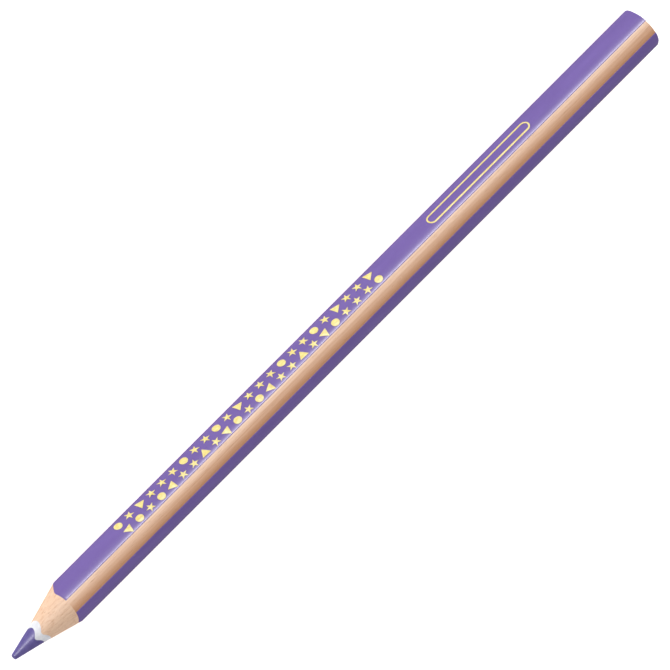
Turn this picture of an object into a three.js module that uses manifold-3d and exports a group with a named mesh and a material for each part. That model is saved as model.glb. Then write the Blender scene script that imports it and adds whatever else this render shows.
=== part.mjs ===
// A jumbo three-sided coloured pencil, lying on its plain underside with its point towards +X.
// Millimetres, +Z up. The origin is under the middle of the pencil, on the surface that it lies on.

import * as THREE from 'three';
import { mergeVertices } from 'three/addons/utils/BufferGeometryUtils.js';
import Module from 'manifold-3d';

const wasm = await Module();
wasm.setup();

// ---- Driving dimensions ----

const LENGTH = 175;

// Barrel section: a triangle with very round corners, whose corner arcs are centred round the axis.
const CORNER_CENTRE = 0.5;
const CORNER_RADIUS = 4;
const CORNER_STEPS = 14;

// Lacquer: one film on each side, which stops short of the corners and leaves the wood bare there.
const LACQUER_FILM = 0.08;
const STRIPE_HALF_ANGLE = THREE.MathUtils.degToRad(19.5);
const STRIPE_OFFSET = THREE.MathUtils.degToRad(2.2);

// Core: a rounded triangle whose corners face the flat sides, inside a white coating of even thickness.
// Its axis, which the sharpened cone shares, lies a little above the middle of the barrel's section.
const CORE_CORNER_CENTRE = 0.6;
const CORE_CORNER_RADIUS = 1.4;
const CORE_CORNER_STEPS = 10;
const COATING_THICKNESS = 0.4;
const CORE_RISE = 0.42;

// Glue seam between the two wooden slats, and the clearance that bonded pieces keep in this model.
const SEAM_THICKNESS = 0.06;
const CLEARANCE = 0.02;

// Sharpened cone: a blunt rounded point, then the core's part, then the slightly steeper wood.
const POINT_RADIUS = 0.58;
const POINT_ROUNDING = 0.2;
const POINT_STEPS = 4;
const CORE_CONE_LENGTH = 5.35;
const CORE_CONE_RADIUS = 1.8;
const WOOD_CONE_SLOPE = 0.262;
const CONE_SIDES = 60;

// Foil print on the decorated side: two rows of small shapes, then an outlined field for a name.
// Both are centred a little above the middle of the side. The lower row starts a little nearer the
// point. It's printed slightly tall and the upper one flat, which evens them out round the curve.
const FOIL_THICKNESS = 0.03;
const FOIL_PITCH = 3.01;
const FOIL_START = 32.3;
const LOWER_ROW_LEAD = 0.63;
const FOIL_ROW_SPACING = 2.24;
const FOIL_MIDDLE = 0.57;
const LOWER_ROW_STRETCH = 1.05;
const UPPER_ROW_STRETCH = 0.82;
const STAR_RADIUS = 1.1;
const STAR_WAIST = 0.37;
const STAR_POINTS = 5;
const DOT_RADIUS = 0.87;
const DOT_STEPS = 20;
const TRIANGLE_RADIUS = 1.22;
const FIELD_START = 116.5;
const FIELD_LENGTH = 28;
const FIELD_HEIGHT = 2.3;
const FIELD_LINE = 0.32;
const FIELD_CORNER_STEPS = 6;

// The order of the shapes from the point backwards: a dot (d), a star with one arm forwards (f),
// backwards (b), up the side (u) or down it (l), and a triangle that points forwards (F), backwards
// (B), forwards and a little down (G) or up and aslant (A).
const LOWER_ROW = 'duBbbfdubduBbbfdufduBbbB';
const UPPER_ROW = 'GdfdFlbAfGdfdFlbAbGdflud';
const STAR_LEAN = THREE.MathUtils.degToRad(-5);
const TRIANGLE_LEAN = THREE.MathUtils.degToRad(6);
const DIPPING = THREE.MathUtils.degToRad(-17);
const ASLANT = THREE.MathUtils.degToRad(27);

// ---- Values worked out from them ----

const TIP_X = LENGTH / 2;
const REAR_X = -LENGTH / 2;
const AXIS_HEIGHT = CORNER_RADIUS + CORNER_CENTRE / 2;
const CORE_HEIGHT = AXIS_HEIGHT + CORE_RISE;
const FILM_INSIDE = CORNER_RADIUS - LACQUER_FILM;
const WOOD_RADIUS = FILM_INSIDE - CLEARANCE;
const FOIL_INSIDE = CORNER_RADIUS + CLEARANCE;
const FOIL_OUTSIDE = FOIL_INSIDE + FOIL_THICKNESS;
const GROOVE_RADIUS = CORE_CORNER_RADIUS + COATING_THICKNESS;
const TOP_CORNER = Math.PI / 2;
const THIRD_TURN = (2 * Math.PI) / 3;
const OVERSIZE = 8;

// ---- Materials ----

const material = (color, roughness) => new THREE.MeshStandardMaterial({ color, roughness, metalness: 0 });
const coreMaterial = material(0x5f4fa6, 0.55);
const coatingMaterial = material(0xf2f0ee, 0.6);
const woodMaterial = material(0xe6bf98, 0.65);
const glueMaterial = material(0xb98a5c, 0.6);
const lacquerMaterial = material(0x6f5e9f, 0.3);
const foilMaterial = material(0xf5edb4, 0.35);

// ---- Sections: outlines across the pencil, round its axis. The outline's y is height, and +x is +Y ----

function arcPoints(centreX, centreY, radius, start, end, steps) {
  const points = [];
  for (let step = 0; step <= steps; step += 1) {
    const angle = start + ((end - start) * step) / steps;
    points.push(new THREE.Vector2(centreX + radius * Math.cos(angle), centreY + radius * Math.sin(angle)));
  }
  return points;
}

// A triangle with round corners: arcs centred round the middle, with short flats between them.
function roundedTriangle(cornerCentre, cornerRadius, firstCorner, steps) {
  const points = [];
  for (let corner = 0; corner < 3; corner += 1) {
    const direction = firstCorner + corner * THIRD_TURN;
    const centreX = cornerCentre * Math.cos(direction);
    const centreY = cornerCentre * Math.sin(direction);
    const start = direction - THIRD_TURN / 2;
    points.push(...arcPoints(centreX, centreY, cornerRadius, start, start + THIRD_TURN, steps));
  }
  return points;
}

function sectorOutline(start, end) {
  return [new THREE.Vector2(0, 0), ...arcPoints(0, 0, OVERSIZE, start, end, 4)];
}

function boxOutline(left, right, bottom, top) {
  return [
    new THREE.Vector2(left, bottom),
    new THREE.Vector2(right, bottom),
    new THREE.Vector2(right, top),
    new THREE.Vector2(left, top),
  ];
}

// ---- Solids ----

function toSolid(geometry) {
  const bare = geometry.clone();
  bare.deleteAttribute('normal');
  bare.deleteAttribute('uv');
  const merged = mergeVertices(bare);
  return new wasm.Manifold(new wasm.Mesh({
    numProp: 3,
    vertProperties: new Float32Array(merged.attributes.position.array),
    triVerts: new Uint32Array(merged.index.array),
  }));
}

function toGeometry(solid) {
  const mesh = solid.getMesh();
  const geometry = new THREE.BufferGeometry();
  geometry.setAttribute('position', new THREE.BufferAttribute(mesh.vertProperties, 3));
  geometry.setIndex(new THREE.BufferAttribute(mesh.triVerts, 1));
  return geometry;
}

// Extrudes a section along the whole pencil, from its butt end to its point, round an axis at a height.
function alongPencil(outline, axisHeight = AXIS_HEIGHT) {
  const geometry = new THREE.ExtrudeGeometry(new THREE.Shape(outline), { depth: LENGTH, bevelEnabled: false });
  const sectionToPencil = new THREE.Matrix4().makeBasis(
    new THREE.Vector3(0, 1, 0),
    new THREE.Vector3(0, 0, 1),
    new THREE.Vector3(1, 0, 0),
  );
  geometry.applyMatrix4(sectionToPencil.setPosition(REAR_X, 0, axisHeight));
  return toSolid(geometry);
}

// Everything that the sharpener leaves: a full-width cylinder that ends in the cone.
function sharpenedEnvelope() {
  const coreSlope = (CORE_CONE_RADIUS - POINT_RADIUS) / CORE_CONE_LENGTH;
  const shoulder = new THREE.Vector2(POINT_RADIUS + coreSlope * POINT_ROUNDING, TIP_X - POINT_ROUNDING);
  const woodLength = (OVERSIZE - CORE_CONE_RADIUS) / WOOD_CONE_SLOPE;
  const profile = [
    new THREE.Vector2(0, REAR_X - OVERSIZE),
    new THREE.Vector2(OVERSIZE, REAR_X - OVERSIZE),
    new THREE.Vector2(OVERSIZE, TIP_X - CORE_CONE_LENGTH - woodLength),
    new THREE.Vector2(CORE_CONE_RADIUS, TIP_X - CORE_CONE_LENGTH),
    shoulder,
  ];
  for (let step = 1; step <= POINT_STEPS; step += 1) {
    const angle = (Math.PI / 2) * (step / POINT_STEPS);
    const radius = shoulder.x - POINT_ROUNDING * (1 - Math.cos(angle));
    profile.push(new THREE.Vector2(radius, shoulder.y + POINT_ROUNDING * Math.sin(angle)));
  }
  profile.push(new THREE.Vector2(0, TIP_X));
  const geometry = new THREE.LatheGeometry(profile, CONE_SIDES);
  geometry.rotateZ(-Math.PI / 2);
  geometry.translate(0, 0, CORE_HEIGHT);
  return toSolid(geometry);
}

const sharpened = sharpenedEnvelope();

function barrel(cornerRadius) {
  return alongPencil(roundedTriangle(CORNER_CENTRE, cornerRadius, TOP_CORNER, CORNER_STEPS));
}

function coreRod(cornerRadius) {
  const firstCorner = TOP_CORNER + THIRD_TURN / 2;
  const outline = roundedTriangle(CORE_CORNER_CENTRE, cornerRadius, firstCorner, CORE_CORNER_STEPS);
  return alongPencil(outline, CORE_HEIGHT);
}

// ---- Core, coating, slats and glue ----

function leadCore() {
  return coreRod(CORE_CORNER_RADIUS).intersect(sharpened);
}

function coreCoating() {
  const sleeve = coreRod(GROOVE_RADIUS - CLEARANCE).subtract(coreRod(CORE_CORNER_RADIUS + CLEARANCE));
  return sleeve.intersect(sharpened);
}

// One slat: side is 1 for the upper one and -1 for the lower one. They meet level with the core's axis.
function casing(side) {
  const face = SEAM_THICKNESS / 2 + CLEARANCE;
  const low = side > 0 ? face : -OVERSIZE;
  const high = side > 0 ? OVERSIZE : -face;
  const half = alongPencil(boxOutline(-OVERSIZE, OVERSIZE, low, high), CORE_HEIGHT);
  return barrel(WOOD_RADIUS).subtract(coreRod(GROOVE_RADIUS)).intersect(half).intersect(sharpened);
}

// One glue seam: side is -1 for the one on the decorated side and 1 for the other.
function glueLine(side) {
  const near = side > 0 ? 0 : -OVERSIZE;
  const far = side > 0 ? OVERSIZE : 0;
  const seam = boxOutline(near, far, -SEAM_THICKNESS / 2, SEAM_THICKNESS / 2);
  const sheet = alongPencil(seam, CORE_HEIGHT);
  return sheet.intersect(barrel(WOOD_RADIUS)).subtract(coreRod(GROOVE_RADIUS)).intersect(sharpened);
}

// ---- Lacquer: side 0 is the decorated one, 1 the underside and 2 the plain one ----

function lacquer(side) {
  const corner = TOP_CORNER + side * THIRD_TURN;
  const start = corner + STRIPE_HALF_ANGLE + STRIPE_OFFSET;
  const end = corner + THIRD_TURN - STRIPE_HALF_ANGLE + STRIPE_OFFSET;
  const film = barrel(CORNER_RADIUS).subtract(barrel(FILM_INSIDE));
  return film.intersect(alongPencil(sectorOutline(start, end))).intersect(sharpened);
}

// ---- Foil: outlines on the decorated side, whose x runs to the point and y to the top corner ----

function starShape(radius) {
  const points = [];
  for (let step = 0; step < 2 * STAR_POINTS; step += 1) {
    const angle = (Math.PI * step) / STAR_POINTS;
    const reach = step % 2 === 0 ? radius : radius * STAR_WAIST;
    points.push(new THREE.Vector2(reach * Math.cos(angle), reach * Math.sin(angle)));
  }
  return new THREE.Shape(points);
}

function regularShape(radius, sides) {
  const points = [];
  for (let step = 0; step < sides; step += 1) {
    const angle = (2 * Math.PI * step) / sides;
    points.push(new THREE.Vector2(radius * Math.cos(angle), radius * Math.sin(angle)));
  }
  return new THREE.Shape(points);
}

function roundEndedPoints(length, height) {
  const radius = height / 2;
  const reach = length / 2 - radius;
  const right = arcPoints(reach, 0, radius, -Math.PI / 2, Math.PI / 2, FIELD_CORNER_STEPS);
  const left = arcPoints(-reach, 0, radius, Math.PI / 2, (3 * Math.PI) / 2, FIELD_CORNER_STEPS);
  return [...right, ...left];
}

function fieldShape() {
  const shape = new THREE.Shape(roundEndedPoints(FIELD_LENGTH, FIELD_HEIGHT));
  const inside = roundEndedPoints(FIELD_LENGTH - 2 * FIELD_LINE, FIELD_HEIGHT - 2 * FIELD_LINE);
  shape.holes.push(new THREE.Path(inside));
  return shape;
}

const foilSkin = barrel(FOIL_OUTSIDE).subtract(barrel(FOIL_INSIDE));

// Stamps a shape at a distance back from the point and a height across the side. The shape is turned
// in its plane, and then stretched across the side.
function stampedFoil(shape, back, across, turn, stretch) {
  const geometry = new THREE.ExtrudeGeometry(shape, { depth: AXIS_HEIGHT + OVERSIZE, bevelEnabled: false });
  geometry.rotateZ(turn);
  geometry.scale(1, stretch, 1);
  geometry.translate(TIP_X - back, across, 0);
  const sideNormal = TOP_CORNER + THIRD_TURN / 2;
  const outward = new THREE.Vector3(0, Math.cos(sideNormal), Math.sin(sideNormal));
  const alongAxis = new THREE.Vector3(1, 0, 0);
  const upSide = new THREE.Vector3().crossVectors(outward, alongAxis);
  const sideToPencil = new THREE.Matrix4().makeBasis(alongAxis, upSide, outward);
  geometry.applyMatrix4(sideToPencil.setPosition(0, 0, AXIS_HEIGHT));
  return toSolid(geometry).intersect(foilSkin);
}

function rowFoils(order, start, across, stretch) {
  const star = starShape(STAR_RADIUS);
  const dot = regularShape(DOT_RADIUS, DOT_STEPS);
  const triangle = regularShape(TRIANGLE_RADIUS, 3);
  const kinds = {
    d: { name: 'dot', shape: dot, turn: 0 },
    f: { name: 'star', shape: star, turn: STAR_LEAN },
    b: { name: 'star', shape: star, turn: STAR_LEAN + Math.PI },
    u: { name: 'star', shape: star, turn: STAR_LEAN + Math.PI / 2 },
    l: { name: 'star', shape: star, turn: STAR_LEAN - Math.PI / 2 },
    F: { name: 'triangle', shape: triangle, turn: 0 },
    B: { name: 'triangle', shape: triangle, turn: TRIANGLE_LEAN + Math.PI },
    G: { name: 'triangle', shape: triangle, turn: DIPPING },
    A: { name: 'triangle', shape: triangle, turn: ASLANT },
  };
  return [...order].map((letter, place) => {
    const kind = kinds[letter];
    const back = start + place * FOIL_PITCH;
    return { name: kind.name, solid: stampedFoil(kind.shape, back, across, kind.turn, stretch) };
  });
}

// ---- Assembly ----

const pencil = new THREE.Group();
pencil.name = 'jumbo_pencil';

function addPiece(name, solid, pieceMaterial) {
  const mesh = new THREE.Mesh(toGeometry(solid), pieceMaterial);
  mesh.name = name;
  pencil.add(mesh);
}

addPiece('lead_core', leadCore(), coreMaterial);
addPiece('core_coating', coreCoating(), coatingMaterial);
addPiece('casing_upper', casing(1), woodMaterial);
addPiece('casing_lower', casing(-1), woodMaterial);
addPiece('glue_line_front', glueLine(-1), glueMaterial);
addPiece('glue_line_back', glueLine(1), glueMaterial);
addPiece('lacquer_decorated', lacquer(0), lacquerMaterial);
addPiece('lacquer_underside', lacquer(1), lacquerMaterial);
addPiece('lacquer_plain', lacquer(2), lacquerMaterial);

const lowerStart = FOIL_START - LOWER_ROW_LEAD;
const foils = [
  ...rowFoils(LOWER_ROW, lowerStart, FOIL_MIDDLE - FOIL_ROW_SPACING / 2, LOWER_ROW_STRETCH),
  ...rowFoils(UPPER_ROW, FOIL_START, FOIL_MIDDLE + FOIL_ROW_SPACING / 2, UPPER_ROW_STRETCH),
];
const counts = {};
for (const foil of foils) {
  counts[foil.name] = (counts[foil.name] ?? 0) + 1;
  const number = String(counts[foil.name]).padStart(2, '0');
  addPiece(`foil_${foil.name}_${number}`, foil.solid, foilMaterial);
}
const fieldMiddle = FIELD_START + FIELD_LENGTH / 2;
addPiece('name_field_frame', stampedFoil(fieldShape(), fieldMiddle, FOIL_MIDDLE, 0, 1), foilMaterial);

export default pencil;
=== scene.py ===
"""The looks of a jumbo three-sided coloured pencil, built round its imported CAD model. Metres, +Z up."""
import math

import bmesh
import bpy
from mathutils import Matrix, Vector


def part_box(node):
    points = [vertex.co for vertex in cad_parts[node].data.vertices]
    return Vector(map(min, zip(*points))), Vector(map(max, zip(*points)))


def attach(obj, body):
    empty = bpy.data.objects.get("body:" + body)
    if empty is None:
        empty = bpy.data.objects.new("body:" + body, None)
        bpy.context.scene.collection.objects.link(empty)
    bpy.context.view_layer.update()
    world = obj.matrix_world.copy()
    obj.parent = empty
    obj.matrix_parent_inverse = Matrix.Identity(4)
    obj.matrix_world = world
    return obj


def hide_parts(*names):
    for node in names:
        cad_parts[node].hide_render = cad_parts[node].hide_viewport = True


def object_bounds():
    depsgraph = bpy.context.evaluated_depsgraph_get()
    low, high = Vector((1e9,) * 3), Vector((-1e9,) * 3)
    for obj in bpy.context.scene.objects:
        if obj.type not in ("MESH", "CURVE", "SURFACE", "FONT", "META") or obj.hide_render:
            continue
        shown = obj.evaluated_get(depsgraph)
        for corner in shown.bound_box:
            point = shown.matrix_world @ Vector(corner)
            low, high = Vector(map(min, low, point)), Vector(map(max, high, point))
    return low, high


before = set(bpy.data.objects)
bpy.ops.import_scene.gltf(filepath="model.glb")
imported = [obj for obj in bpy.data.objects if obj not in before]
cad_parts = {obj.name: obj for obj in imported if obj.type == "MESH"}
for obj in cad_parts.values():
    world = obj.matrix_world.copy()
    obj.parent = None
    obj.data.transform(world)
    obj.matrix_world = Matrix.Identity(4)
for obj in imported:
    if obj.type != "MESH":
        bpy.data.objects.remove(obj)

cad_low, cad_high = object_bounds()

# ---- Section of the pencil, as the CAD model has it ----

MM = 0.001
CORNER_CENTRE = 0.5 * MM
CORNER_RADIUS = 4.0 * MM
LACQUER_FILM = 0.08 * MM
FILM_INSIDE = CORNER_RADIUS - LACQUER_FILM
CLEARANCE = 0.02 * MM
WOOD_RADIUS = FILM_INSIDE - CLEARANCE
FOIL_BASE = 0.004 * MM
FOIL_THICKNESS = 0.035 * MM
STRIPE_HALF_ANGLE = math.radians(19.5)
STRIPE_OFFSET = math.radians(2.2)
CORE_CORNER_CENTRE = 0.6 * MM
CORE_CORNER_RADIUS = 1.4 * MM
COATING = 0.4 * MM
GROOVE_RADIUS = CORE_CORNER_RADIUS + COATING
CORE_RISE = 0.42 * MM
SEAM = 0.06 * MM
HAIRLINE = 0.004 * MM

# ---- Sharpened cone ----

POINT_RADIUS = 0.58 * MM
POINT_ROUNDING = 0.2 * MM
CORE_CONE_LENGTH = 5.35 * MM
CORE_CONE_RADIUS = 1.8 * MM
WOOD_CONE_SLOPE = 0.262

# ---- Foil print ----

STAR_RADIUS = 1.1 * MM
STAR_WAIST = 0.37
DOT_RADIUS = 0.87 * MM
TRIANGLE_RADIUS = 1.22 * MM
FIELD_LINE = 0.32 * MM
FIELD_HEIGHT = 2.3 * MM
ROW_SPACING = 2.24 * MM
FOIL_MIDDLE = 0.57 * MM
LOWER_ROW_STRETCH = 1.05
UPPER_ROW_STRETCH = 0.82
FOIL_EDGE = 0.02 * MM
# From the point backwards: d dot; a star with one arm f forwards, b backwards, u up the side or l
# down it; a triangle that points F forwards, B backwards, G forwards and down or A aslant.
LOWER_ROW = "duBbbfdubduBbbfdufduBbbB"
UPPER_ROW = "GdfdFlbAfGdfdFlbAbGdflud"
STAR_LEAN = math.radians(-5)
TRIANGLE_LEAN = math.radians(6)
DIPPING = math.radians(-17)
ASLANT = math.radians(27)
STAR_HEADINGS = {"f": 0, "b": math.pi, "u": math.pi / 2, "l": -math.pi / 2}
TRIANGLE_HEADINGS = {"F": 0, "B": math.pi + TRIANGLE_LEAN, "G": DIPPING, "A": ASLANT}

# ---- Places, worked out from the frame ----

TIP_X = cad_high.x
REAR_X = cad_low.x
AXIS_Z = cad_low.z + CORNER_RADIUS + CORNER_CENTRE / 2
CORE_Z = AXIS_Z + CORE_RISE
HALF_FLAT = CORNER_CENTRE * math.sqrt(3) / 2
TOP = math.pi / 2
THIRD = 2 * math.pi / 3
DECORATED_SIDE = TOP + THIRD / 2

# ---- Fineness of the meshes, and small roundings ----

REACH_CORRECTIONS = 8
TURN_STEPS = 240
BARREL_STEPS = 60
CONE_STEPS = 14
BUTT_STEPS = 6
CORE_END_STEPS = 8
CORE_CONE_STEPS = 24
POINT_STEPS = 6
FILM_STEPS = 84
FILM_LENGTH_STEPS = 80
FILM_EDGE_STEPS = 8
DOT_SIDES = 48
FIELD_END_STEPS = 24
FOIL_STRIPS = 12
FOIL_STRIP_REACH = 1.2 * MM
CRISP_EDGE = 0.01 * MM
WOOD_EDGE_BREAK = 0.05 * MM
LACQUER_EDGE_BREAK = 0.03 * MM
THIN_FILM_SHARE = 0.12
STAR_SOFTENING = 0.08
TRIANGLE_SOFTENING = 0.06


# ---- Shape of the section and of the cone ----

def angle_from(angle, first, step):
    """The angle to the nearest of the directions first, first + step, and so on."""
    return (angle - first + step / 2) % step - step / 2


def rounded_reach(angle, corner_centre, corner_radius, first_corner):
    """Distance from the middle of a triangle with round corners to its outline in a direction."""
    flat_distance = corner_radius + corner_centre / 2
    from_flat = angle_from(angle, first_corner + THIRD / 2, THIRD)
    if flat_distance * math.tan(abs(from_flat)) <= corner_centre * math.sqrt(3) / 2:
        return flat_distance / math.cos(from_flat)
    from_corner = angle_from(angle, first_corner, THIRD)
    aside = corner_centre * math.sin(from_corner)
    return corner_centre * math.cos(from_corner) + math.sqrt(corner_radius ** 2 - aside ** 2)


def barrel_reach(angle, corner_radius):
    return rounded_reach(angle, CORNER_CENTRE, corner_radius, TOP)


def core_reach(angle, corner_radius):
    return rounded_reach(angle, CORE_CORNER_CENTRE, corner_radius, TOP + THIRD / 2)


def barrel_from_core(angle, corner_radius):
    """Distance from the core's axis, a little above the barrel's, to the barrel's outline."""
    reach = corner_radius
    for _ in range(REACH_CORRECTIONS):
        across, up = reach * math.cos(angle), CORE_RISE + reach * math.sin(angle)
        reach += barrel_reach(math.atan2(up, across), corner_radius) - math.hypot(across, up)
    return reach


def cone_x(radius):
    """Where along the pencil the sharpened cone has a radius, which is measured from the core's axis."""
    if radius > CORE_CONE_RADIUS:
        return TIP_X - CORE_CONE_LENGTH - (radius - CORE_CONE_RADIUS) / WOOD_CONE_SLOPE
    share = (radius - POINT_RADIUS) / (CORE_CONE_RADIUS - POINT_RADIUS)
    return TIP_X - CORE_CONE_LENGTH * share


def steps(start, end, count):
    return [start + (end - start) * index / count for index in range(count + 1)]


# ---- Mesh helpers ----

def finish_piece(bm, name, material, nodes, sharp=math.radians(11)):
    """Turns a bmesh into a piece that rides with the pencil and stands for CAD nodes."""
    bmesh.ops.recalc_face_normals(bm, faces=bm.faces)
    mesh = bpy.data.meshes.new(name)
    bm.to_mesh(mesh)
    bm.free()
    mesh.shade_smooth()
    mesh.set_sharp_from_angle(angle=sharp)
    mesh.materials.append(material)
    piece = bpy.data.objects.new(name, mesh)
    bpy.context.scene.collection.objects.link(piece)
    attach(piece, "root")
    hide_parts(*nodes)
    return piece


def turned(profile_at, angles, whole_turn, axis_z=CORE_Z):
    """Skins closed profiles of (x, radius) points, one for each direction round an axis."""
    bm = bmesh.new()
    columns = []
    for angle in angles:
        column = []
        for x, radius in profile_at(angle):
            column.append(bm.verts.new((x, radius * math.cos(angle), axis_z + radius * math.sin(angle))))
        columns.append(column)
    count = len(columns[0])
    pairs = list(zip(columns, columns[1:]))
    if whole_turn:
        pairs.append((columns[-1], columns[0]))
    for near, far in pairs:
        for index in range(count):
            following = (index + 1) % count
            bm.faces.new((near[index], near[following], far[following], far[index]))
    if not whole_turn:
        bm.faces.new(columns[0])
        bm.faces.new(columns[-1])
    return bm


# ---- Node material helpers ----

def new_material(name):
    material = bpy.data.materials.new(name)
    material.use_nodes = True
    return material, Nodes(material.node_tree)


class Nodes:
    """Short ways to add and join shader nodes in one material."""

    def __init__(self, tree):
        self.tree = tree
        self.shader = tree.nodes["Principled BSDF"]
        self.place = tree.nodes.new("ShaderNodeTexCoord").outputs["Object"]

    def join(self, source, target):
        self.tree.links.new(source, target)

    def set(self, **values):
        for name, value in values.items():
            self.shader.inputs[name.replace("_", " ")].default_value = value

    def stretched(self, scale, offset=(0, 0, 0)):
        mapping = self.tree.nodes.new("ShaderNodeMapping")
        mapping.inputs["Scale"].default_value = scale
        mapping.inputs["Location"].default_value = offset
        self.join(self.place, mapping.inputs["Vector"])
        return mapping.outputs["Vector"]

    def noise(self, vector, detail=3.0, roughness=0.55, distortion=0.0):
        node = self.tree.nodes.new("ShaderNodeTexNoise")
        node.inputs["Scale"].default_value = 1.0
        node.inputs["Detail"].default_value = detail
        node.inputs["Roughness"].default_value = roughness
        node.inputs["Distortion"].default_value = distortion
        self.join(vector, node.inputs["Vector"])
        return node.outputs["Fac"]

    def bands(self, vector, distortion=0.0, direction="X"):
        node = self.tree.nodes.new("ShaderNodeTexWave")
        node.bands_direction = direction
        node.inputs["Scale"].default_value = 1.0
        node.inputs["Distortion"].default_value = distortion
        node.inputs["Detail"].default_value = 2.0
        self.join(vector, node.inputs["Vector"])
        return node.outputs["Fac"]

    def ramp(self, value, *stops):
        node = self.tree.nodes.new("ShaderNodeValToRGB")
        elements = node.color_ramp.elements
        while len(elements) < len(stops):
            elements.new(0.5)
        for element, (position, colour) in zip(elements, stops):
            element.position = position
            element.color = (*colour, 1)
        self.join(value, node.inputs["Fac"])
        return node.outputs["Color"]

    def mix(self, share, first, second):
        node = self.tree.nodes.new("ShaderNodeMix")
        node.data_type = "RGBA"
        sockets = (node.inputs["Factor"], node.inputs[6], node.inputs[7])
        for socket, value in zip(sockets, (share, first, second)):
            if isinstance(value, (int, float, tuple)):
                socket.default_value = value
            else:
                self.join(value, socket)
        return node.outputs[2]

    def scaled(self, value, low, high):
        node = self.tree.nodes.new("ShaderNodeMapRange")
        node.inputs["To Min"].default_value = low
        node.inputs["To Max"].default_value = high
        self.join(value, node.inputs["Value"])
        return node.outputs["Result"]

    def attribute(self, name):
        node = self.tree.nodes.new("ShaderNodeAttribute")
        node.attribute_name = name
        return node.outputs["Fac"]

    def bump(self, height, distance, strength=1.0, under=None):
        node = self.tree.nodes.new("ShaderNodeBump")
        node.inputs["Distance"].default_value = distance
        node.inputs["Strength"].default_value = strength
        self.join(height, node.inputs["Height"])
        if under is not None:
            self.join(under, node.inputs["Normal"])
        return node.outputs["Normal"]

    def surface(self, colour=None, roughness=None, normal=None):
        for source, name in ((colour, "Base Color"), (roughness, "Roughness"), (normal, "Normal")):
            if source is not None:
                self.join(source, self.shader.inputs[name])


def srgb(red, green, blue):
    """A colour given as the 0 to 255 values that a screen shows."""
    values = []
    for level in (red, green, blue):
        share = level / 255
        values.append(share / 12.92 if share <= 0.04045 else ((share + 0.055) / 1.055) ** 2.4)
    return tuple(values)


# ---- Materials ----

def wood_material():
    """Fine straight grain along the pencil: pale bands, brown streaks and short dark pores, with painted
    shade that browns each bare corner towards one film.
    """
    material, nodes = new_material("bare_wood")
    fibres = nodes.noise(nodes.stretched((70, 6400, 6400)), detail=4)
    streaks = nodes.noise(nodes.stretched((26, 2900, 2900), (3, 1, 2)), detail=3, distortion=0.15)
    pores = nodes.noise(nodes.stretched((420, 9500, 9500), (7, 5, 1)), detail=2)
    rings = nodes.bands(nodes.stretched((3, 420, 640)), distortion=1.4, direction="Y")
    pale = nodes.ramp(fibres, (0.25, srgb(228, 188, 156)), (0.75, srgb(239, 206, 178)))
    ringed = nodes.mix(nodes.scaled(rings, 0.0, 0.3), pale, (*srgb(219, 177, 146), 1))
    streak_marks = nodes.ramp(streaks, (0.52, (0, 0, 0)), (0.74, (0.6, 0.6, 0.6)))
    streaked = nodes.mix(streak_marks, ringed, (*srgb(198, 140, 102), 1))
    pore_marks = nodes.ramp(pores, (0.62, (0, 0, 0)), (0.76, (0.7, 0.7, 0.7)))
    pored = nodes.mix(pore_marks, streaked, (*srgb(158, 102, 70), 1))
    # Painted shade: each bare corner's wood turns a darker brown towards one film, standing in for the
    # corner turning away from the light.
    with_painted_shade = nodes.mix(nodes.scaled(nodes.attribute("painted_shade"), 0.0, 0.8), pored, (*srgb(192, 124, 72), 1))
    grain = nodes.bump(fibres, 0.012 * MM, 0.5)
    cut = nodes.bump(nodes.ramp(pores, (0.5, (1, 1, 1)), (0.75, (0, 0, 0))), 0.02 * MM, 0.6, grain)
    nodes.set(Specular_IOR_Level=0.5)
    nodes.surface(with_painted_shade, nodes.scaled(streaks, 0.42, 0.6), cut)
    return material


def lacquer_material():
    """Glossy lacquer over wood: even colour, faint orange peel and the grain just telling through."""
    material, nodes = new_material("violet_lacquer")
    drift = nodes.noise(nodes.stretched((60, 300, 300)), detail=2)
    peel = nodes.noise(nodes.stretched((900, 1500, 1500), (2, 4, 6)), detail=2)
    telling = nodes.noise(nodes.stretched((40, 3000, 3000), (1, 8, 3)), detail=3)
    nodes.set(Coat_Weight=0.4, Coat_Roughness=0.22, Specular_IOR_Level=0.35)
    ripple = nodes.bump(peel, 0.006 * MM, 0.5)
    nodes.surface(
        nodes.ramp(drift, (0.3, srgb(110, 88, 158)), (0.7, srgb(116, 94, 165))),
        nodes.scaled(peel, 0.34, 0.44),
        nodes.bump(telling, 0.004 * MM, 0.4, ripple),
    )
    return material


def core_material():
    """Waxy pigment: dense violet with darker specks, and the fine rings that a sharpener cuts."""
    material, nodes = new_material("colour_core")
    clumps = nodes.noise(nodes.stretched((900, 1400, 1400)), detail=4)
    specks = nodes.noise(nodes.stretched((5200, 5200, 5200), (4, 4, 1)), detail=2)
    rings = nodes.bands(nodes.stretched((900, 60, 60)), distortion=1.2)
    body = nodes.ramp(clumps, (0.3, srgb(82, 70, 142)), (0.7, srgb(102, 89, 160)))
    speck_marks = nodes.ramp(specks, (0.62, (0, 0, 0)), (0.72, (0.5, 0.5, 0.5)))
    flecked = nodes.mix(speck_marks, body, (*srgb(60, 48, 118), 1))
    shaved = nodes.bump(rings, 0.012 * MM, 0.45)
    nodes.set(Specular_IOR_Level=0.9, Sheen_Weight=0.08)
    nodes.surface(flecked, nodes.scaled(clumps, 0.36, 0.44), nodes.bump(clumps, 0.02 * MM, 0.4, shaved))
    return material


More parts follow.
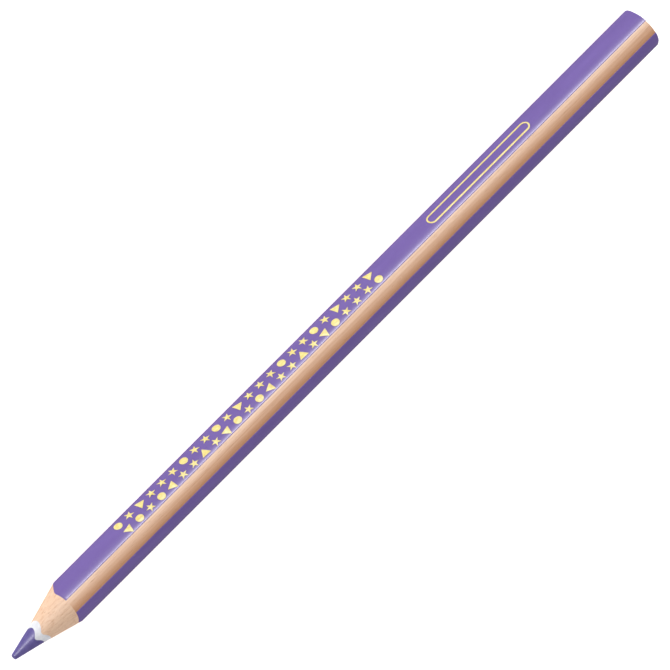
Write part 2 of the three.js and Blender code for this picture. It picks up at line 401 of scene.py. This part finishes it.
def coating_material():
    """Matte white sleeve with a little pigment rubbed into it where it meets the core."""
    material, nodes = new_material("white_coating")
    clouds = nodes.noise(nodes.stretched((700, 1100, 1100)), detail=4)
    rubbed = nodes.noise(nodes.stretched((1500, 2600, 2600), (5, 2, 9)), detail=3)
    white = nodes.ramp(clouds, (0.3, srgb(212, 213, 220)), (0.7, srgb(232, 232, 236)))
    smear = nodes.ramp(rubbed, (0.56, (0, 0, 0)), (0.74, (0.22, 0.22, 0.22)))
    nodes.set(Specular_IOR_Level=0.35)
    nodes.surface(
        nodes.mix(smear, white, (*srgb(186, 178, 214), 1)),
        nodes.scaled(clouds, 0.5, 0.62),
        nodes.bump(rubbed, 0.012 * MM, 0.4),
    )
    return material


def glue_material():
    """Dried wood glue, amber and slightly glossy."""
    material, nodes = new_material("dried_glue")
    beads = nodes.noise(nodes.stretched((600, 2400, 2400)), detail=3)
    nodes.surface(
        nodes.ramp(beads, (0.3, srgb(188, 140, 96)), (0.7, srgb(216, 172, 128))),
        nodes.scaled(beads, 0.4, 0.55),
        nodes.bump(beads, 0.01 * MM, 0.4),
    )
    return material


def foil_material():
    """Stamped pale gold: dense, slightly mottled, warmer where the stamp pressed thin."""
    material, nodes = new_material("stamped_foil")
    mottle = nodes.noise(nodes.stretched((1400, 2000, 2000)), detail=4)
    grains = nodes.noise(nodes.stretched((6000, 6000, 6000), (1, 2, 3)), detail=2)
    nodes.set(Specular_IOR_Level=0.5)
    nodes.surface(
        nodes.ramp(mottle, (0.28, srgb(226, 200, 106)), (0.66, srgb(240, 226, 152))),
        nodes.scaled(grains, 0.32, 0.5),
        nodes.bump(grains, 0.004 * MM, 0.5),
    )
    return material


def floor_material():
    """Plain near-white paper with a faint tooth, which glows a little so that it stays white."""
    material, nodes = new_material("pale_floor")
    tooth = nodes.noise(nodes.stretched((400, 400, 400)), detail=2)
    nodes.set(Specular_IOR_Level=0.1, Emission_Color=(1, 1, 1, 1), Emission_Strength=0.62)
    nodes.surface(
        nodes.ramp(tooth, (0.3, (0.9, 0.9, 0.9)), (0.7, (0.92, 0.92, 0.92))),
        nodes.scaled(tooth, 0.85, 0.95),
    )
    return material


# ---- Wood: two slats glued on a level plane through the core's axis ----

def casing_profile(angle):
    """The closed outline of a slat in one direction: butt end, barrel, sharpened cone and groove."""
    outside = barrel_from_core(angle, WOOD_RADIUS)
    groove = core_reach(angle, GROOVE_RADIUS)
    shoulder = cone_x(outside)
    barrel = [(x, outside) for x in steps(REAR_X + WOOD_EDGE_BREAK, shoulder, BARREL_STEPS)]
    cone = [(cone_x(radius), radius) for radius in steps(outside - CRISP_EDGE, groove, CONE_STEPS)]
    butt = [(REAR_X, radius) for radius in steps(groove, outside - WOOD_EDGE_BREAK, BUTT_STEPS)]
    return barrel + cone + butt


def paint_shade_on_corners(piece):
    """Marks painted shade on the wood of each bare corner, more and more towards one film: the darkening of
    the rounded corner as it turns from the light, painted into the wood's colour.
    """
    painted_shade = piece.data.attributes.new("painted_shade", "FLOAT", "POINT")
    for vertex in piece.data.vertices:
        angle = math.atan2(vertex.co.z - AXIS_Z, vertex.co.y)
        from_middle = angle_from(angle, TOP + STRIPE_OFFSET, THIRD)
        share = min(max(0.5 - from_middle / (2 * STRIPE_HALF_ANGLE), 0.0), 1.0)
        from_core = math.hypot(vertex.co.y, vertex.co.z - CORE_Z)
        core_angle = math.atan2(vertex.co.z - CORE_Z, vertex.co.y)
        on_barrel = from_core > barrel_from_core(core_angle, WOOD_RADIUS) - HAIRLINE
        painted_shade.data[vertex.index].value = share if on_barrel else 0.0


def make_casing(name, side, material):
    gap = SEAM / 2 + HAIRLINE
    middle = math.pi / 2 if side > 0 else -math.pi / 2
    half_turn = steps(middle - math.pi / 2, middle + math.pi / 2, TURN_STEPS)
    bm = turned(casing_profile, half_turn, whole_turn=False)
    for vertex in bm.verts:
        height = vertex.co.z - CORE_Z
        vertex.co.z = CORE_Z + side * max(side * height, gap)
    piece = finish_piece(bm, name, material, [name])
    # Paints shade into the wood of the bare corners.
    paint_shade_on_corners(piece)
    return piece


def make_glue_line(name, side, material):
    """One seam: a thin strip from the groove to the outside, cut off by the cone."""
    angle = 0 if side > 0 else math.pi
    outline = casing_profile(angle)
    bm = bmesh.new()
    lower = [bm.verts.new((x, side * radius, CORE_Z - SEAM / 2)) for x, radius in outline]
    upper = [bm.verts.new((x, side * radius, CORE_Z + SEAM / 2)) for x, radius in outline]
    for index in range(len(outline)):
        following = (index + 1) % len(outline)
        bm.faces.new((lower[index], lower[following], upper[following], upper[index]))
    bm.faces.new(lower)
    bm.faces.new(upper)
    return finish_piece(bm, name, material, [name])


# ---- Core and coating ----

def core_profile(angle):
    """From the axis at the butt end, along the groove, down the cone and over the blunt point."""
    outside = core_reach(angle, CORE_CORNER_RADIUS)
    slope = (CORE_CONE_RADIUS - POINT_RADIUS) / CORE_CONE_LENGTH
    shoulder = POINT_RADIUS + slope * POINT_ROUNDING
    profile = [(REAR_X, radius) for radius in steps(0, outside, CORE_END_STEPS)]
    profile += [(cone_x(radius), radius) for radius in steps(outside, shoulder, CORE_CONE_STEPS)]
    for turn in steps(0, math.pi / 2, POINT_STEPS)[1:]:
        radius = shoulder - POINT_ROUNDING * (1 - math.cos(turn))
        profile.append((TIP_X - POINT_ROUNDING * (1 - math.sin(turn)), radius))
    profile += [(TIP_X, radius) for radius in steps(shoulder - POINT_ROUNDING, 0, 3)[1:]]
    return profile


def make_core(material):
    bm = turned(core_profile, steps(0, 2 * math.pi, TURN_STEPS)[:-1], whole_turn=True)
    bmesh.ops.remove_doubles(bm, verts=bm.verts, dist=0.0005 * MM)
    return finish_piece(bm, "lead_core", material, ["lead_core"])


def coating_profile(angle):
    outside = core_reach(angle, GROOVE_RADIUS - HAIRLINE)
    inside = core_reach(angle, CORE_CORNER_RADIUS + HAIRLINE)
    cut = [(cone_x(radius), radius) for radius in steps(outside, inside, 5)]
    return [(REAR_X, inside), (REAR_X, outside)] + cut


def make_coating(material):
    bm = turned(coating_profile, steps(0, 2 * math.pi, TURN_STEPS)[:-1], whole_turn=True)
    return finish_piece(bm, "core_coating", material, ["core_coating"])


# ---- Lacquer: a film on each side that thins out to a soft edge beside the bare corners ----

SOFT_EDGE = math.radians(1.6)


def make_lacquer(name, side, material):
    corner = TOP + side * THIRD
    start = corner + STRIPE_HALF_ANGLE + STRIPE_OFFSET
    end = corner + THIRD - STRIPE_HALF_ANGLE + STRIPE_OFFSET

    def end_x(angle, radius):
        return cone_x(math.hypot(radius * math.cos(angle), radius * math.sin(angle) - CORE_RISE))

    def film_profile(angle):
        into_film = min(angle - start, end - angle) / SOFT_EDGE
        swell = math.sqrt(1 - (1 - min(into_film, 1)) ** 2)
        thickness = LACQUER_FILM * (THIN_FILM_SHARE + (1 - THIN_FILM_SHARE) * swell)
        inside = barrel_reach(angle, WOOD_RADIUS + HAIRLINE)
        outside = barrel_reach(angle, WOOD_RADIUS + HAIRLINE + thickness)
        butt = [(REAR_X, inside), (REAR_X, outside - LACQUER_EDGE_BREAK / 2)]
        length = steps(REAR_X + LACQUER_EDGE_BREAK, end_x(angle, outside), FILM_LENGTH_STEPS)
        return butt + [(x, outside) for x in length] + [(end_x(angle, inside), inside)]

    edge = steps(0, SOFT_EDGE, FILM_EDGE_STEPS)
    angles = [start + step for step in edge]
    angles += steps(start + SOFT_EDGE, end - SOFT_EDGE, FILM_STEPS)[1:-1]
    angles += [end - step for step in reversed(edge)]
    bm = turned(film_profile, angles, whole_turn=False, axis_z=AXIS_Z)
    return finish_piece(bm, name, material, [name])


# ---- Foil: flat outlines stamped on the decorated side ----

def stamped(x, across, height):
    """A place above the decorated side, where a flat stamp presses on it: across runs to the top corner."""
    outward = Vector((0, math.cos(DECORATED_SIDE), math.sin(DECORATED_SIDE)))
    up_side = Vector((0, math.sin(DECORATED_SIDE), -math.cos(DECORATED_SIDE)))
    beyond_flat = max(abs(across) - HALF_FLAT, 0.0)
    lift = CORNER_CENTRE / 2 + math.sqrt((CORNER_RADIUS + height) ** 2 - beyond_flat ** 2)
    return Vector((x, 0, AXIS_Z)) + outward * lift + up_side * across


def emboss(bm, name, centre_x, across, material):
    """Cuts a flat shape into strips, gives it a rounded thickness and presses it on the side."""
    for cut in steps(-FOIL_STRIP_REACH, FOIL_STRIP_REACH, FOIL_STRIPS):
        everything = bm.verts[:] + bm.edges[:] + bm.faces[:]
        bmesh.ops.bisect_plane(bm, geom=everything, dist=1e-8, plane_co=(0, cut, 0), plane_no=(0, 1, 0))
    raised = bmesh.ops.extrude_face_region(bm, geom=bm.faces[:], use_keep_orig=True)
    top = [item for item in raised["geom"] if isinstance(item, bmesh.types.BMFace)]
    for vertex in {vertex for face in top for vertex in face.verts}:
        vertex.co.z = FOIL_THICKNESS * 0.55
    bmesh.ops.inset_region(bm, faces=top, thickness=FOIL_EDGE, use_even_offset=True)
    for vertex in {vertex for face in top for vertex in face.verts}:
        vertex.co.z = FOIL_THICKNESS
    for vertex in bm.verts:
        flat = vertex.co.copy()
        vertex.co = stamped(centre_x + flat.x, across + flat.y, FOIL_BASE + flat.z)
    return finish_piece(bm, name, material, [name], sharp=math.radians(60))


def polygon(points):
    bm = bmesh.new()
    bm.faces.new([bm.verts.new((x, y, 0)) for x, y in points])
    return bm


def star_points(turn):
    points = []
    for step in range(10):
        reach = STAR_RADIUS * (1 if step % 2 == 0 else STAR_WAIST)
        angle = turn + math.pi * step / 5
        points.append((reach * math.cos(angle), reach * math.sin(angle)))
    return points


def regular_points(radius, sides, turn):
    points = []
    for step in range(sides):
        angle = turn + 2 * math.pi * step / sides
        points.append((radius * math.cos(angle), radius * math.sin(angle)))
    return points


def softened(points, share):
    """Cuts each sharp corner of an outline into a short curve."""
    rounded = []
    for index, point in enumerate(points):
        corner = Vector(point)
        before = Vector(points[index - 1])
        after = Vector(points[(index + 1) % len(points)])
        first = corner.lerp(before, share)
        last = corner.lerp(after, share)
        for step in (0, 0.25, 0.5, 0.75, 1):
            rounded.append(tuple(first.lerp(corner, step).lerp(corner.lerp(last, step), step)))
    return rounded


def middle_x(points):
    xs = [x for x, y in points]
    return (min(xs) + max(xs)) / 2


def foil_outline(letter):
    """The outline of one shape of the print, and the kind of shape that it is."""
    if letter in STAR_HEADINGS:
        return "star", softened(star_points(STAR_HEADINGS[letter] + STAR_LEAN), STAR_SOFTENING)
    if letter in TRIANGLE_HEADINGS:
        triangle = regular_points(TRIANGLE_RADIUS, 3, TRIANGLE_HEADINGS[letter])
        return "triangle", softened(triangle, TRIANGLE_SOFTENING)
    return "dot", regular_points(DOT_RADIUS, DOT_SIDES, 0)


def make_foils(material):
    counts = {"star": 0, "dot": 0, "triangle": 0}
    rows = (
        (LOWER_ROW, FOIL_MIDDLE - ROW_SPACING / 2, LOWER_ROW_STRETCH),
        (UPPER_ROW, FOIL_MIDDLE + ROW_SPACING / 2, UPPER_ROW_STRETCH),
    )
    for order, across, stretch in rows:
        for letter in order:
            kind, outline = foil_outline(letter)
            outline = [(x, y * stretch) for x, y in outline]
            counts[kind] += 1
            name = f"foil_{kind}_{counts[kind]:02d}"
            low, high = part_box(name)
            centre_x = (low.x + high.x) / 2 - middle_x(outline)
            emboss(polygon(outline), name, centre_x, across, material)


def round_ended(length, height):
    """The outline of a long field with half-round ends."""
    radius = height / 2
    reach = length / 2 - radius
    points = []
    for end, start in ((reach, -math.pi / 2), (-reach, math.pi / 2)):
        for angle in steps(start, start + math.pi, FIELD_END_STEPS):
            points.append((end + radius * math.cos(angle), radius * math.sin(angle)))
    return points


def make_name_field(material):
    low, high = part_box("name_field_frame")
    length = high.x - low.x
    outer = round_ended(length, FIELD_HEIGHT)
    inner = round_ended(length - 2 * FIELD_LINE, FIELD_HEIGHT - 2 * FIELD_LINE)
    bm = bmesh.new()
    rim = [bm.verts.new((x, y, 0)) for x, y in outer]
    hole = [bm.verts.new((x, y, 0)) for x, y in inner]
    for index in range(len(rim)):
        following = (index + 1) % len(rim)
        bm.faces.new((rim[index], rim[following], hole[following], hole[index]))
    emboss(bm, "name_field_frame", (low.x + high.x) / 2, FOIL_MIDDLE, material)


# ---- Assembly ----

wood = wood_material()
glue = glue_material()
foil = foil_material()
lacquer = lacquer_material()

make_core(core_material())
make_coating(coating_material())
make_casing("casing_upper", 1, wood)
make_casing("casing_lower", -1, wood)
make_glue_line("glue_line_front", -1, glue)
make_glue_line("glue_line_back", 1, glue)
make_lacquer("lacquer_decorated", 0, lacquer)
make_lacquer("lacquer_underside", 1, lacquer)
make_lacquer("lacquer_plain", 2, lacquer)
make_foils(foil)
make_name_field(foil)


# ---- Studio ----

TILT = math.radians(19.8)
ROLL = math.radians(16)
SLOPE = math.radians(45.02)
LENS = 1400
SENSOR = 36
FRAME_WIDTH = 124.0 * MM
MIDDLE_X = -1.64 * MM
MIDDLE_OVER = -0.02 * MM
LIGHT_DISTANCE = 0.9
KEY_ANGLE = math.radians(46)
KEY_LEAN = 0.0
KEY_LENGTH = 0.7
KEY_WIDTH = 0.5
KEY_POWER = 4.2
STRIP_ANGLE = math.radians(17)
STRIP_LEAN = -0.3
STRIP_LENGTH = 0.9
STRIP_WIDTH = 0.25
STRIP_POWER = 14.0
WORLD_LEVEL = 0.7
MIRRORED_WORLD_LEVEL = 0.14

across_view = Vector((0, -math.sin(ROLL), math.cos(ROLL)))
to_camera = Vector((1, 0, 0)) * math.sin(TILT) + across_view * math.cos(TILT)
up_barrel = (Vector((-1, 0, 0)) + to_camera * math.sin(TILT)) / math.cos(TILT)
over_barrel = Vector((0, -math.cos(ROLL), -math.sin(ROLL)))


def make_camera():
    """Looks at the pencil from above its point, with the barrel running up to the right."""
    right = up_barrel * math.cos(SLOPE) - over_barrel * math.sin(SLOPE)
    up = up_barrel * math.sin(SLOPE) + over_barrel * math.cos(SLOPE)
    target = Vector((MIDDLE_X, 0, AXIS_Z)) + over_barrel * MIDDLE_OVER
    distance = FRAME_WIDTH * LENS / SENSOR
    data = bpy.data.cameras.new("camera")
    data.lens = LENS
    data.sensor_width = SENSOR
    data.clip_start = 0.1
    data.clip_end = 50
    camera = bpy.data.objects.new("camera", data)
    bpy.context.scene.collection.objects.link(camera)
    place = Matrix((right, up, to_camera)).transposed().to_4x4()
    place.translation = target + to_camera * distance
    camera.matrix_world = place
    bpy.context.scene.camera = camera


def make_floor():
    bm = bmesh.new()
    bmesh.ops.create_grid(bm, x_segments=1, y_segments=1, size=3)
    mesh = bpy.data.meshes.new("floor")
    bm.to_mesh(mesh)
    bm.free()
    mesh.materials.append(floor_material())
    floor = bpy.data.objects.new("floor", mesh)
    floor.location.z = cad_low.z - 0.01 * MM
    floor.visible_glossy = False
    bpy.context.scene.collection.objects.link(floor)


def around_barrel(angle, along):
    """A direction at an angle round the pencil from the camera's side, leaning along the pencil."""
    return across_view * math.cos(angle) + over_barrel * math.sin(angle) + Vector((along, 0, 0))


def make_light(name, direction, length, width, power):
    """A softbox that faces the pencil from a direction, with its length along the pencil."""
    data = bpy.data.lights.new(name, "AREA")
    data.shape = "RECTANGLE"
    data.size = length
    data.size_y = width
    data.energy = power
    light = bpy.data.objects.new(name, data)
    facing = direction.normalized()
    side = facing.cross(Vector((1, 0, 0))).normalized()
    place = Matrix((side.cross(facing), side, facing)).transposed().to_4x4()
    place.translation = facing * LIGHT_DISTANCE
    light.matrix_world = place
    bpy.context.scene.collection.objects.link(light)
    return light


def make_world(level, mirrored_level):
    """Even grey light all round, which glossy surfaces mirror more faintly."""
    world = bpy.data.worlds.new("studio")
    world.use_nodes = True
    tree = world.node_tree
    tree.nodes.clear()
    output = tree.nodes.new("ShaderNodeOutputWorld")
    path = tree.nodes.new("ShaderNodeLightPath")
    mix = tree.nodes.new("ShaderNodeMixShader")
    tree.links.new(path.outputs["Is Glossy Ray"], mix.inputs["Fac"])
    for socket, grey in ((1, level), (2, mirrored_level)):
        light = tree.nodes.new("ShaderNodeBackground")
        light.inputs["Color"].default_value = (grey, grey, grey, 1)
        tree.links.new(light.outputs["Background"], mix.inputs[socket])
    tree.links.new(mix.outputs["Shader"], output.inputs["Surface"])
    bpy.context.scene.world = world


make_camera()
make_floor()

# The key gives the soft light and shade, and the strip only the highlight along the barrel.
key = make_light("key", around_barrel(KEY_ANGLE, KEY_LEAN), KEY_LENGTH, KEY_WIDTH, KEY_POWER)
key.visible_glossy = False
strip = make_light("strip", around_barrel(STRIP_ANGLE, STRIP_LEAN), STRIP_LENGTH, STRIP_WIDTH, STRIP_POWER)
strip.visible_diffuse = False
make_world(WORLD_LEVEL, MIRRORED_WORLD_LEVEL)
bpy.context.scene.view_settings.view_transform = "Standard"
